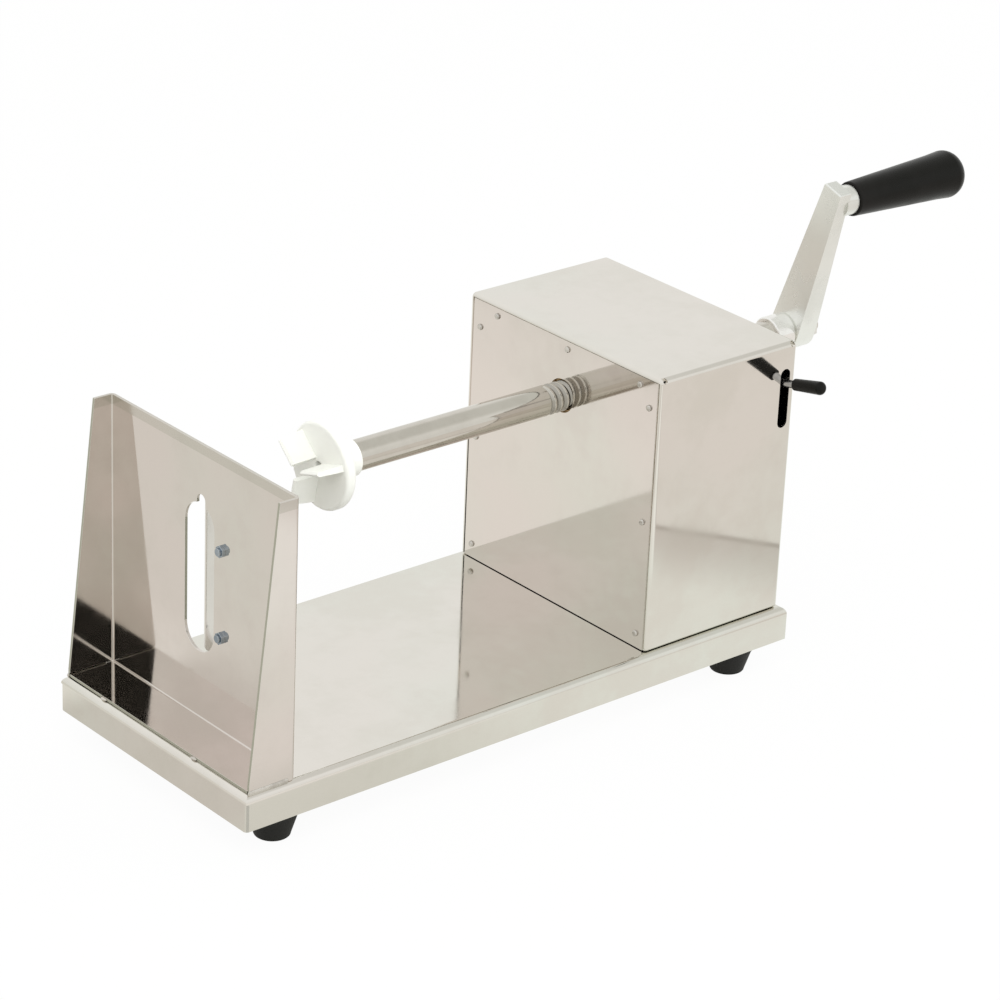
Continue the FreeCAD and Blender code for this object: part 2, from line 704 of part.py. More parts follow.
spring = rod_z(*spring_z, spring_r, spring_x, spring_y)
save("return_spring", spring.cut(rod_z(spring_z[0] - past, spring_z[1] + past, spring_r - spring_wire,
                                       spring_x, spring_y)))

# Drive shaft: bored at the front for the skewer, stepped and shouldered at the crank end.
shaft_end = arm_x1 + cap_t + press * 10
shaft = rod_x(shaft_front, hub_x1, shaft_r).fuse(rod_x(hub_x1, shaft_end, stub_r)).removeSplitter()
nose = edges_where(shaft, lambda c, e: flat_x(e, shaft_front))
shaft = shaft.makeChamfer(shaft_chamfer, nose)
save("drive_shaft", shaft.cut(rod_x(shaft_front - past, shaft_front + skewer_bore_depth, skewer_bore_r)))

# Potato holder: white disc with a collar on the shaft and three prongs round the skewer hole.
disc_front = shaft_front - disc_floor
collar_end = disc_front + disc_t + collar_length
disc = rod_x(disc_front, disc_front + disc_t, disc_r)
disc = disc.makeFillet(disc_edge, edges_where(disc, lambda c, e: near(e.BoundBox.XLength, 0)))
collar = Part.makeCone(collar_r0, collar_r1, collar_length + past, V(disc_front + disc_t - past, 0, axis_z),
                       V(1, 0, 0))
holder = disc.fuse(collar)
prong_tip = disc_front - prong_length
for k in range(prong_count):
    prong = prism([V(disc_front + past, prong_inner, -prong_t / 2), V(prong_tip, prong_inner, -prong_t / 2),
                   V(prong_tip, prong_outer, -prong_t / 2),
                   V(disc_front + past, prong_outer + prong_draft, -prong_t / 2)], V(0, 0, prong_t))
    prong = prong.makeChamfer(prong_edge, edges_where(prong, lambda c, e: flat_x(e, prong_tip)
                                                      and along(e, "y", prong_t)))
    prong.rotate(V(0, 0, 0), V(1, 0, 0), prong_turn + 360.0 * k / prong_count)
    prong.translate(V(0, 0, axis_z))
    holder = holder.fuse(prong)
holder = holder.removeSplitter()
holder = holder.cut(rod_x(shaft_front - press, collar_end + past, shaft_r + press))
holder = holder.cut(rod_x(prong_tip - past, collar_end, skewer_bore_r + holder_bore_gap))
holder_grub = shaft_front + holder_grub_x
grub_top = axis_z - shaft_r - press
holder = holder.cut(rod_z(axis_z - 2 * collar_r0, grub_top + past, grub_r + grub_fit, holder_grub, 0))
save("potato_holder", holder)
save("holder_screw", rod_z(axis_z - collar_r1 - past / 2, grub_top, grub_r, holder_grub, 0))

# Crank hub: turned collar between the shaft and the arm, with its own grub screw.
hub = rod_x(hub_x0, hub_x1, hub_r)
hub = hub.makeChamfer(hub_chamfer, edges_where(hub, lambda c, e: near(e.BoundBox.XLength, 0)))
hub = hub.cut(rod_x(hub_x0 - past, hub_x1 + past, shaft_r + press))
hub_mid = (hub_x0 + hub_x1) / 2
hub = hub.cut(rod_z(axis_z - 2 * hub_r, axis_z, hub_grub_r + grub_fit, hub_mid, 0))
save("crank_hub", hub)
save("hub_screw", rod_z(axis_z - hub_r + grub_fit, grub_top, hub_grub_r, hub_mid, 0))


# Crank arm: cast bar that tapers in width and in thickness, with a boss for the grip.
def on_arm(shape):
    """Turn a shape built upright over the shaft to the leaning direction of the arm."""
    shape.rotate(V(0, 0, 0), V(1, 0, 0), arm_lean)
    shape.translate(V(0, 0, axis_z))
    return shape


arm_front = [V(hub_x1, -arm_half_low, 0), V(hub_x1, -arm_half_top, arm_end), V(hub_x1, arm_half_top, arm_end),
             V(hub_x1, arm_half_low, 0)]
arm_face = hub_x1 + arm_t_top
arm_side = [V(hub_x1, -arm_half_low, 0), V(arm_x1, -arm_half_low, 0), V(arm_x1, -arm_half_low, arm_foot),
            V(arm_face, -arm_half_low, arm_end - arm_head), V(arm_face, -arm_half_low, arm_end),
            V(hub_x1, -arm_half_low, arm_end)]
arm = prism(arm_front, V(arm_t_low, 0, 0)).common(prism(arm_side, V(0, 2 * arm_half_low, 0)))
arm = arm.makeFillet(arm_edge, edges_where(arm, lambda c, e: c.z > arm_end - past and e.Length > arm_t_top / 2))
arm = arm.fuse(rod_x(hub_x1, arm_x1, arm_half_low, 0, 0))
boss_end = arm_face + boss_length
arm = arm.fuse(rod_x(arm_face - past, boss_end, boss_r, 0, crank_radius))
arm = arm.cut(rod_x(hub_x1 - past, arm_x1 + past, stub_r + press, 0, 0))
arm = arm.cut(rod_x(hub_x1 + spindle_seat - grip_gap, boss_end + past, spindle_r + press, 0, crank_radius))
save("crank_arm", on_arm(arm.removeSplitter()))

# Cap nut on the shaft end.
cap = hexagon(cap_flats, cap_t, V(arm_x1, 0, axis_z), V(1, 0, 0))
dome = Part.makeSphere(cap_dome_r, V(arm_x1 + cap_t - cap_dome_sink, 0, axis_z))
dome = dome.cut(box(arm_x1 - 2 * cap_t, arm_x1 + cap_t / 2, -cap_flats, cap_flats, axis_z - cap_flats,
                    axis_z + cap_flats))
cap = cap.fuse(dome).removeSplitter()
save("arm_cap_nut", cap.cut(rod_x(arm_x1 - past, shaft_end + grip_gap, stub_r + press)))

# Grip spindle with a retaining head, and the turning grip with its closed round end.
grip_x0 = boss_end + grip_gap
grip_x1 = grip_x0 + grip_length
head_x1 = grip_x1 - grip_cap - grip_gap
head_x0 = head_x1 - spindle_head_t
spindle = rod_x(hub_x1 + spindle_seat, head_x0, spindle_r, 0, crank_radius)
spindle = spindle.fuse(rod_x(head_x0, head_x1, spindle_head_r, 0, crank_radius))
save("grip_spindle", on_arm(spindle.removeSplitter()))
grip = Part.makeCone(grip_r0, grip_r1, grip_length, V(grip_x0, 0, crank_radius), V(1, 0, 0))
grip = grip.makeFillet(grip_end_r, edges_where(grip, lambda c, e: flat_x(e, grip_x1)))
grip = grip.makeFillet(grip_edge_r, edges_where(grip, lambda c, e: flat_x(e, grip_x0)))
grip = grip.cut(rod_x(grip_x0 - past, head_x1, spindle_r + grip_fit, 0, crank_radius))
grip = grip.cut(rod_x(head_x0 - grip_gap, head_x1 + grip_gap, spindle_head_r + grip_gap, 0, crank_radius))
save("crank_grip", on_arm(grip))
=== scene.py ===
import json
import math

import bmesh
import bpy
from mathutils import Matrix, Vector


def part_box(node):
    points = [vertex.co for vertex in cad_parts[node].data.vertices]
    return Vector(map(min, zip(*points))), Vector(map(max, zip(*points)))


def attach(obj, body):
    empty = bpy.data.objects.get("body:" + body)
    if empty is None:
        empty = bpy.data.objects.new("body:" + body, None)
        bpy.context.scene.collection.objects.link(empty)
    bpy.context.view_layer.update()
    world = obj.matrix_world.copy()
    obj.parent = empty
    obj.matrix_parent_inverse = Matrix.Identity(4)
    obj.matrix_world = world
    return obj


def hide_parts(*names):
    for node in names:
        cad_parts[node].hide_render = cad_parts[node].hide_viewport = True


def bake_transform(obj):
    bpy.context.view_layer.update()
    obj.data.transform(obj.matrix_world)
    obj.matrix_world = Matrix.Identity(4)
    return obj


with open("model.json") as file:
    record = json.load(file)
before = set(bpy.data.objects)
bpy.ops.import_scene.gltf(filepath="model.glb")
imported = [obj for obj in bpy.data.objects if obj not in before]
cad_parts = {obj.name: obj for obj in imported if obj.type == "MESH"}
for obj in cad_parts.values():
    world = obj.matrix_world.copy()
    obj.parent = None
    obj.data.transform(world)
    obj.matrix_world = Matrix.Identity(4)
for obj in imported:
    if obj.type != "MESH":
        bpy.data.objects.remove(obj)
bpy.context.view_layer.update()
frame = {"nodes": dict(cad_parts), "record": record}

MM = 0.001
ALONG_TOOL = Vector((1, 0, 0))
UP = Vector((0, 0, 1))

# Places that the frame gives, in metres
shaft_low, shaft_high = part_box("drive_shaft")
shaft_axis = Vector((0, 0, (shaft_low.z + shaft_high.z) / 2))
stand_low, stand_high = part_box("blade_stand")
deck_height = stand_low.z


# Shader node groups: each effect is built once and placed in the finishes with its own values.
def add(tree, kind, **settings):
    """New shader node with its settings."""
    made = tree.nodes.new("ShaderNode" + kind)
    for name, value in settings.items():
        setattr(made, name, value)
    return made


def feed(tree, socket, source):
    """Joins a socket to another socket, or writes a plain value into it."""
    if isinstance(source, bpy.types.NodeSocket):
        tree.links.new(source, socket)
    else:
        socket.default_value = source


def math_of(tree, operation, *terms):
    """Math node over its terms."""
    made = add(tree, "Math", operation=operation)
    for socket, term in zip(made.inputs, terms):
        feed(tree, socket, term)
    return made.outputs[0]


def fitted(tree, value, low, high, to_low=0.0, to_high=1.0):
    """Value stretched from one range to another, kept inside it."""
    made = add(tree, "MapRange", interpolation_type="SMOOTHSTEP")
    for name, term in (("Value", value), ("From Min", low), ("From Max", high), ("To Min", to_low),
                       ("To Max", to_high)):
        feed(tree, made.inputs[name], term)
    return made.outputs[0]


def noise(tree, vector, scale, detail, roughness=0.5):
    """Noise texture; its scale is in repeats per metre."""
    made = add(tree, "TexNoise")
    for name, term in (("Vector", vector), ("Scale", scale), ("Detail", detail), ("Roughness", roughness)):
        feed(tree, made.inputs[name], term)
    return made.outputs["Fac"]


def effect(name, inputs, output):
    """Empty node group with named inputs and one output; returns the tree and its two ends."""
    tree = bpy.data.node_groups.new(name, "ShaderNodeTree")
    for label, kind in inputs:
        tree.interface.new_socket(label, in_out="INPUT", socket_type="NodeSocket" + kind)
    tree.interface.new_socket(output, in_out="OUTPUT", socket_type="NodeSocketFloat")
    return tree, tree.nodes.new("NodeGroupInput"), tree.nodes.new("NodeGroupOutput")


SIZED = (("Vector", "Vector"), ("Size", "Float"))


def make_grain():
    """Fine lines that run along X: Along and Across are how often they change, per metre."""
    rates = (("Vector", "Vector"), ("Along", "Float"), ("Across", "Float"))
    tree, start, end = effect("rolled grain", rates, "Grain")
    scale = add(tree, "CombineXYZ")
    for axis, rate in (("X", "Along"), ("Y", "Across"), ("Z", "Across")):
        feed(tree, scale.inputs[axis], start.outputs[rate])
    stretched = add(tree, "VectorMath", operation="MULTIPLY")
    feed(tree, stretched.inputs[0], start.outputs["Vector"])
    feed(tree, stretched.inputs[1], scale.outputs[0])
    feed(tree, end.inputs["Grain"], noise(tree, stretched.outputs[0], 1.0, detail=4.0, roughness=0.65))
    return tree


def make_marks():
    """Patches where hands and cloths have dulled the surface, with finer streaks in them."""
    tree, start, end = effect("handling marks", SIZED, "Marks")
    place, size = start.outputs["Vector"], start.outputs["Size"]
    broad = noise(tree, place, size, detail=3.0, roughness=0.55)
    streaks = noise(tree, place, math_of(tree, "MULTIPLY", size, 6.0), detail=3.0, roughness=0.6)
    both = math_of(tree, "ADD", broad, math_of(tree, "MULTIPLY", streaks, 0.35))
    feed(tree, end.inputs["Marks"], fitted(tree, both, 0.55, 0.85))
    return tree


def make_waves():
    """Slow rise and fall of a folded sheet."""
    tree, start, end = effect("sheet waves", SIZED, "Height")
    slow = noise(tree, start.outputs["Vector"], start.outputs["Size"], detail=1.0, roughness=0.4)
    feed(tree, end.inputs["Height"], slow)
    return tree


def make_tint():
    """Broad soft patches of two shades, as polished sheet shows under white light."""
    tree, start, end = effect("broad tint", SIZED, "Tint")
    broad = noise(tree, start.outputs["Vector"], start.outputs["Size"], detail=2.0)
    feed(tree, end.inputs["Tint"], fitted(tree, broad, 0.35, 0.65))
    return tree


def make_speckle():
    """Small even pitting of mouldings and rubber."""
    tree, start, end = effect("fine speckle", SIZED, "Speckle")
    place, size = start.outputs["Vector"], start.outputs["Size"]
    pits = add(tree, "TexVoronoi")
    feed(tree, pits.inputs["Vector"], place)
    feed(tree, pits.inputs["Scale"], size)
    grit = noise(tree, place, size, detail=3.0, roughness=0.6)
    both = math_of(tree, "ADD", math_of(tree, "MULTIPLY", pits.outputs["Distance"], 0.5), grit)
    feed(tree, end.inputs["Speckle"], fitted(tree, both, 0.4, 1.1))
    return tree


def make_wear():
    """Rubbed edges: the rounded edge faces carry the value edge, and a noise breaks them up."""
    tree, start, end = effect("worn edges", SIZED, "Wear")
    rubbed = noise(tree, start.outputs["Vector"], start.outputs["Size"], detail=3.0, roughness=0.6)
    edge = add(tree, "Attribute", attribute_name="edge")
    worn = math_of(tree, "MULTIPLY", edge.outputs["Fac"], fitted(tree, rubbed, 0.3, 0.6))
    feed(tree, end.inputs["Wear"], worn)
    return tree


grain_group = make_grain()
marks_group = make_marks()
waves_group = make_waves()
tint_group = make_tint()
speckle_group = make_speckle()
wear_group = make_wear()


def placed(tree, group, vector, **values):
    """A node group set into a finish; returns its one output."""
    made = add(tree, "Group", node_tree=group)
    feed(tree, made.inputs["Vector"], vector)
    for label, value in values.items():
        feed(tree, made.inputs[label], value)
    return made.outputs[0]


def mixed(tree, share, first, second):
    """Colour between two colours."""
    made = add(tree, "Mix", data_type="RGBA")
    feed(tree, made.inputs["Factor"], share)
    colours = [s for s in made.inputs if s.type == "RGBA"]
    for socket, colour in zip(colours, (first, second)):
        feed(tree, socket, colour if isinstance(colour, bpy.types.NodeSocket) else (*colour, 1.0))
    return [s for s in made.outputs if s.type == "RGBA"][0]


def raised(tree, height, depth, before=None):
    """Bump of a given depth in metres, over another one if there is one."""
    made = add(tree, "Bump")
    made.inputs["Strength"].default_value = 1.0
    made.inputs["Distance"].default_value = depth
    feed(tree, made.inputs["Height"], height)
    if before is not None:
        feed(tree, made.inputs["Normal"], before)
    return made.outputs["Normal"]


def new_finish(name):
    """Material with its shader, its tree and the object's own coordinates."""
    made = bpy.data.materials.new(name)
    made.use_nodes = True
    tree = made.node_tree
    shader = tree.nodes["Principled BSDF"]
    place = add(tree, "TexCoord")
    return made, tree, shader, place.outputs["Object"]


def turned_to(tree, vector, turn):
    """Coordinates turned by whole degrees, so that a grain runs another way."""
    made = add(tree, "Mapping")
    feed(tree, made.inputs["Vector"], vector)
    made.inputs["Rotation"].default_value = [math.radians(a) for a in turn]
    return made.outputs["Vector"]


def part_of(tree, value, share):
    """A mask weakened to a share of itself."""
    return math_of(tree, "MULTIPLY", value, share)


# Repeats per metre of the patterns that have one size in all finishes
TINT_SIZE = 9.0
WAVE_SIZE = 14.0
METAL_WEAR_SIZE = 90.0
MOULDED_WEAR_SIZE = 120.0


def metal(name, clean, dulled, smooth, rough, other=None, turn=(0, 0, 0), grain=(30.0, 1400.0),
          grain_depth=0.4e-6, wave_depth=0.10e-3, mark_size=18.0, edge_tone=(0.86, 0.85, 0.82),
          cut_and_groove_shade_tone=(0.60, 0.585, 0.55)):
    """Metal with rolled grain, slow waves, two shades, handling marks, rubbed edges, dull cut faces and
    painted groove shade.
    """
    made, tree, shader, place = new_finish(name)
    lines = placed(tree, grain_group, turned_to(tree, place, turn), Along=grain[0], Across=grain[1])
    marks = placed(tree, marks_group, place, Size=mark_size)
    wear = placed(tree, wear_group, place, Size=METAL_WEAR_SIZE)
    # The value cut carries both the dull cut faces and the painted shade of thread grooves
    cut = add(tree, "Attribute", attribute_name="cut").outputs["Fac"]
    tone = mixed(tree, placed(tree, tint_group, place, Size=TINT_SIZE), clean, other or clean)
    for mask, goal in ((part_of(tree, marks, 0.7), dulled), (part_of(tree, lines, 0.25), dulled),
                       (cut, cut_and_groove_shade_tone), (part_of(tree, wear, 0.6), edge_tone)):
        tone = mixed(tree, mask, tone, goal)
    feed(tree, shader.inputs["Base Color"], tone)
    shader.inputs["Metallic"].default_value = 1.0
    blotches = math_of(tree, "ADD", marks, part_of(tree, lines, 0.5))
    skin = fitted(tree, part_of(tree, blotches, 0.67), 0.0, 1.0, smooth, rough)
    feed(tree, shader.inputs["Roughness"], math_of(tree, "ADD", skin, part_of(tree, cut, 0.3)))
    waves = placed(tree, waves_group, place, Size=WAVE_SIZE)
    feed(tree, shader.inputs["Normal"], raised(tree, lines, grain_depth, raised(tree, waves, wave_depth)))
    return made


def moulded(name, base, dusty, smooth, rough, speck_size, speck_depth, mark_size=30.0, edge_tone=None,
            dust=0.6, shine=0.5):
    """Rubber or plastic with a fine skin, faint dust and rubbed edges."""
    made, tree, shader, place = new_finish(name)
    shader.inputs["Specular IOR Level"].default_value = shine
    specks = placed(tree, speckle_group, place, Size=speck_size)
    marks = placed(tree, marks_group, place, Size=mark_size)
    tone = mixed(tree, part_of(tree, marks, dust), base, dusty)
    if edge_tone is not None:
        tone = mixed(tree, placed(tree, wear_group, place, Size=MOULDED_WEAR_SIZE), tone, edge_tone)
    feed(tree, shader.inputs["Base Color"], tone)
    blotches = math_of(tree, "ADD", part_of(tree, marks, 0.6), part_of(tree, specks, 0.4))
    feed(tree, shader.inputs["Roughness"], fitted(tree, blotches, 0.0, 1.0, smooth, rough))
    feed(tree, shader.inputs["Normal"], raised(tree, specks, speck_depth))
    return made


polished_sheet = metal("polished sheet", (0.78, 0.745, 0.70), (0.72, 0.69, 0.635), 0.05, 0.10,
                       other=(0.755, 0.77, 0.71))
polished_upright = metal("polished upright sheet", (0.74, 0.68, 0.645), (0.68, 0.63, 0.59), 0.045, 0.095,
                         other=(0.71, 0.70, 0.645), turn=(0, 90, 0), cut_and_groove_shade_tone=(0.46, 0.46, 0.385))
ground_blade = metal("ground blade", (0.78, 0.775, 0.75), (0.70, 0.69, 0.67), 0.12, 0.24, turn=(0, 90, 0),
                     grain=(60.0, 2600.0), grain_depth=1.2e-6, wave_depth=0.02e-3)
zinc_plate = metal("zinc plate", (0.36, 0.41, 0.46), (0.22, 0.26, 0.30), 0.12, 0.26, other=(0.46, 0.51, 0.56),
                   grain=(200.0, 500.0), grain_depth=1e-6, wave_depth=0.01e-3, mark_size=90.0,
                   edge_tone=(0.70, 0.75, 0.80))
dull_steel = metal("dull steel", (0.52, 0.52, 0.52), (0.36, 0.36, 0.37), 0.24, 0.42, turn=(0, 90, 0),
                   grain=(80.0, 1800.0), grain_depth=2e-6, wave_depth=0.03e-3, mark_size=40.0,
                   edge_tone=(0.66, 0.66, 0.66))
screw_steel = metal("screw steel", (0.66, 0.635, 0.59), (0.46, 0.44, 0.41), 0.16, 0.30, grain=(400.0, 1600.0),
                    grain_depth=1e-6, wave_depth=0.01e-3, mark_size=200.0)
spring_steel = metal("spring steel", (0.45, 0.45, 0.46), (0.28, 0.28, 0.29), 0.22, 0.4, grain=(300.0, 2400.0),
                     grain_depth=1e-6, wave_depth=0.01e-3, mark_size=120.0)
# The polished bar's cut tone is the painted shade of its thread grooves
shaft_chrome = metal("polished bar", (0.66, 0.63, 0.575), (0.58, 0.55, 0.495), 0.07, 0.14,
                     other=(0.645, 0.625, 0.565), turn=(0, 0, 90), grain=(60.0, 2200.0), grain_depth=0.3e-6,
                     wave_depth=0.006e-3, mark_size=30.0, cut_and_groove_shade_tone=(0.27, 0.255, 0.225))
hub_chrome = metal("turned hub", (0.93, 0.925, 0.90), (0.84, 0.83, 0.80), 0.16, 0.3, turn=(0, 0, 90),
                   grain=(60.0, 2600.0), grain_depth=1e-6, wave_depth=0.01e-3, mark_size=60.0)
cast_aluminium = metal("satin aluminium", (0.86, 0.87, 0.835), (0.78, 0.79, 0.755), 0.22, 0.32,
                       turn=(0, 90, 0), grain=(120.0, 500.0), grain_depth=1.5e-6, wave_depth=0.05e-3,
                       mark_size=30.0, edge_tone=(0.95, 0.95, 0.93))
bronze = metal("oiled bronze", (0.36, 0.25, 0.13), (0.22, 0.15, 0.08), 0.2, 0.38, turn=(0, 0, 90),
               grain=(60.0, 1800.0), grain_depth=2e-6, wave_depth=0.01e-3, mark_size=70.0,
               edge_tone=(0.52, 0.38, 0.22))
weld_metal = metal("ground weld", (0.70, 0.67, 0.62), (0.50, 0.47, 0.43), 0.22, 0.42, grain=(700.0, 900.0),
                   grain_depth=6e-6, wave_depth=0.02e-3, mark_size=200.0)
black_rubber = moulded("black rubber", (0.010, 0.010, 0.009), (0.026, 0.025, 0.022), 0.55, 0.8,
                       speck_size=1400.0, speck_depth=8e-6, shine=0.22)
black_plastic = moulded("black moulding", (0.004, 0.004, 0.003), (0.009, 0.008, 0.007), 0.26, 0.42,
                        speck_size=1500.0, speck_depth=3e-6, mark_size=24.0, shine=0.16)
white_plastic = moulded("white moulding", (0.92, 0.93, 0.88), (0.86, 0.86, 0.81), 0.32, 0.5,
                        speck_size=700.0, speck_depth=3e-6, mark_size=40.0, edge_tone=(0.90, 0.91, 0.86),
                        dust=0.35)


# Pieces: each is a mesh in the frame's own place that rides on a body and stands for its node.
body_of = {node: body for body, group in frame["record"]["behaviour"]["bodies"].items() for node in group}
slot_of = {part["node"]: part["material_slot"] for part in frame["record"]["subparts"]}


def linked(name, data):
    """New object in the scene."""
    made = bpy.data.objects.new(name, data)
    bpy.context.scene.collection.objects.link(made)
    return made


def meshed(name, bm, finish, sharp):
    """Object of a bmesh, smooth except across its sharp edges."""
    mesh = bpy.data.meshes.new(name)
    bm.to_mesh(mesh)
    bm.free()
    mesh.shade_smooth()
    mesh.set_sharp_from_angle(angle=math.radians(sharp))
    mesh.materials.append(finish)
    return linked(name, mesh)


def piece(name, bm, body, finish, slot, *stands_for, sharp):
    """Finished piece on its body, with the normals of its broad faces kept even."""
    made = meshed(name, bm, finish, sharp)
    even = made.modifiers.new("even normals", "WEIGHTED_NORMAL")
    even.keep_sharp = True
    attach(made, body)
    if stands_for:
        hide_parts(*stands_for)


def finished(node, bm, finish, sharp=38.0):
    """Piece that stands for a node, on the node's body."""
    piece(node + "_finished", bm, body_of[node], finish, slot_of[node], node, sharp=sharp)


def node_mesh(node):
    """Bmesh of a node with its loose triangles merged and its flat faces joined."""
    bm = bmesh.new()
    bm.from_mesh(frame["nodes"][node].data)
    bmesh.ops.remove_doubles(bm, verts=bm.verts, dist=0.002 * MM)
    bmesh.ops.dissolve_limit(bm, angle_limit=math.radians(0.5), verts=bm.verts, edges=bm.edges)
    return bm


def mark_cut_faces(bm, thickness):
    """Gives the value cut to the narrow faces that a shear leaves along a sheet's outline."""
    cut = bm.faces.layers.float.get("cut") or bm.faces.layers.float.new("cut")
    sheet_corner = math.radians(60)
    for face in bm.faces:
        steep = sum(e.calc_length() for e in face.edges if e.calc_face_angle(0) > sheet_corner)
        longest = max(e.calc_length() for e in face.edges)
        narrow = face.calc_area() / longest < 1.15 * thickness
        if narrow and steep > 0.6 * face.calc_perimeter():
            face[cut] = 1.0


def bevelled(bm, edges, width, segments):
    """Rounds these edges; returns the new faces."""
    out = bmesh.ops.bevel(bm, geom=edges, offset=width, offset_type="OFFSET", segments=segments, profile=0.5,
                          affect="EDGES", clamp_overlap=True, material=-1)
    return out["faces"]


def round_edges(bm, width, segments):
    """Rounds the sharp edges and marks their new faces with the value edge."""
    worn = bm.faces.layers.float.new("edge")
    corner = math.radians(30)
    sharp = [e for e in bm.edges if len(e.link_faces) == 2 and e.calc_face_angle(0) > corner]
    for face in bevelled(bm, sharp, width, segments):
        face[worn] = 1.0


def softened(node, width, finish, segments=2, sheet=0.0, shaped=None):
    """Piece that stands for a node: its shape, changed by shaped if given, with its sharp edges rounded."""
    bm = node_mesh(node)
    if shaped is not None:
        shaped(bm)
    if sheet:
        mark_cut_faces(bm, sheet * MM)
    round_edges(bm, width * MM, segments)
    finished(node, bm, finish)


def turned(bm, profile, steps):
    """Solid turned round the X axis from a profile of (x, radius) points in millimetres."""
    points = [bm.verts.new((x * MM, 0, r * MM)) for x, r in profile]
    edges = [bm.edges.new(pair) for pair in zip(points, points[1:])]
    bmesh.ops.spin(bm, geom=points + edges, cent=(0, 0, 0), axis=ALONG_TOOL, angle=math.tau, steps=steps,
                   use_merge=True, use_duplicate=False)
    bmesh.ops.remove_doubles(bm, verts=bm.verts, dist=0.001 * MM)
    bmesh.ops.recalc_face_normals(bm, faces=bm.faces)


def round_end(x, radius, corner, way, count=8):
    """Profile points of a rounded corner that ends at x, from the side to the end face."""
    points = []
    for k in range(count + 1):
        a = math.radians(90.0 * k / count)
        points.append((x - way * corner * (1 - math.sin(a)), radius - corner * (1 - math.cos(a))))
    return points


def moved(bm, chosen, step):
    """Moves the vertices whose places the test chooses, by a step in millimetres."""
    verts = [v for v in bm.verts if chosen(v.co)]
    bmesh.ops.translate(bm, verts=verts, vec=[length * MM for length in step])


def split_by(bm, place, normal, **options):
    """Cuts the mesh by a plane; returns what the cut made."""
    return bmesh.ops.bisect_plane(bm, geom=bm.verts[:] + bm.edges[:] + bm.faces[:], plane_co=place,
                                  plane_no=normal, **options)["geom_cut"]


# Sheet metal
def lowered(bm):
    """The panels reach down to a hair above the deck and close on the far wall."""
    foot = min(v.co.z for v in bm.verts) + 0.1 * MM
    moved(bm, lambda co: co.z < foot, (0, 0, -0.75))
    far_side = max(v.co.y for v in bm.verts) - 0.1 * MM
    moved(bm, lambda co: co.y > far_side, (0, 1.1, 0))


def full_width(bm):
    """The blade's ground edge and its lower end stand well into the slot."""
    ground = max(v.co.y for v in bm.verts) - 4.2 * MM
    moved(bm, lambda co: co.y > ground, (0, 3.2, 0))
    low_end = min(v.co.z for v in bm.verts) + 5.0 * MM
    moved(bm, lambda co: co.z < low_end, (0, 0, -4.0))


def darker_top_band(bm):
    """A band along the stand's top, given part of the value cut, so it is darker and rougher than the rest.
    """
    top_band_layer = bm.faces.layers.float.new("cut")
    rim = stand_high.z - 5.0 * MM
    split_by(bm, (0, 0, rim), UP)
    for face in bm.faces:
        if face.calc_center_median().z > rim:
            face[top_band_layer] = 0.35


def seamed_corners(bm):
    """Broad soft corners where the pan's turned-down sides meet at its front end."""
    low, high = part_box("base_pan")
    reach = 0.2 * MM
    shortest = 8 * MM
    side_half_layer = bm.faces.layers.float.new("cut")
    upright = []
    for edge in bm.edges:
        one, two = (vert.co for vert in edge.verts)
        at_corner = one.x < low.x + reach and abs(one.y) > high.y - reach
        stands = edge.calc_length() > shortest and (one - two).xy.length < MM
        if at_corner and stands and edge.calc_face_angle(0) > 1.0:
            upright.append(edge)
    # The half of each round that faces sideways takes the value cut and is darker; the half facing forward is
    # not
    for face in bevelled(bm, upright, 1.7 * MM, 2):
        face[side_half_layer] = 1.0 if abs(face.normal.y) > abs(face.normal.x) else 0.0


softened("base_pan", 0.3, polished_sheet, shaped=seamed_corners)
softened("blade_stand", 0.22, polished_upright, sheet=1.5, shaped=darker_top_band)
softened("gearbox_cover", 0.32, polished_sheet)
for node in ("gearbox_front_panel", "gearbox_rear_panel"):
    softened(node, 0.22, polished_upright, shaped=lowered)
softened("inner_bracket", 0.3, dull_steel, sheet=3.0)
softened("slicing_blade", 0.08, ground_blade, shaped=full_width)

# Small turned and pressed pieces, each with a slight break on its edges
small_pieces = {
    "blade_spacers": zinc_plate,
    "foot_screws": zinc_plate, "foot_nuts": zinc_plate, "cover_screws": zinc_plate, "cover_nuts": zinc_plate,
    "bracket_screws": zinc_plate, "bracket_nuts": zinc_plate, "front_bearing_screws": zinc_plate,
    "rear_bearing_screws": zinc_plate, "rear_bearing_nuts": zinc_plate, "half_nut_screws": zinc_plate,
    "bearing_clips": spring_steel, "pivot_clip": spring_steel, "lever_pivot_pin": dull_steel,
    "spring_anchor": dull_steel, "spring_hook": dull_steel, "holder_screw": zinc_plate,
    "hub_screw": zinc_plate, "grip_spindle": dull_steel, "front_bearing_sleeve": bronze,
    "rear_bearing_sleeve": bronze,
}
for node, finish in small_pieces.items():
    softened(node, 0.12, finish, segments=1)


def low_nut(bm):
    """Slim nuts on the stand's plate, scaled about the middle of the face that bears on it."""
    low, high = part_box("blade_nuts")
    half_nut_height = 3.5 * MM
    for middle in (low.z + half_nut_height, high.z - half_nut_height):
        nut = [v for v in bm.verts if abs(v.co.z - middle) < 8 * MM]
        centre = Vector((high.x, (low.y + high.y) / 2, middle))
        bmesh.ops.scale(bm, verts=nut, vec=(0.6, 0.76, 0.8), space=Matrix.Translation(-centre))


def short_screw(bm):
    """Screw ends that stand just out of their nuts."""
    low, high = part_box("blade_nuts")
    tips = [v for v in bm.verts if v.co.x < low.x + 1.0 * MM]
    bmesh.ops.scale(bm, verts=tips, vec=(0.6, 1, 1), space=Matrix.Translation((-high.x, 0, 0)))


def low_cap(bm):
    """Flat cap nut, close to the arm."""
    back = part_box("crank_arm")[1].x
    cap = [v for v in bm.verts if v.co.x > back + 0.2 * MM]
    bmesh.ops.scale(bm, verts=cap, vec=(0.62, 0.9, 0.9),
                    space=Matrix.Translation((-back, -shaft_axis.y, -shaft_axis.z)))


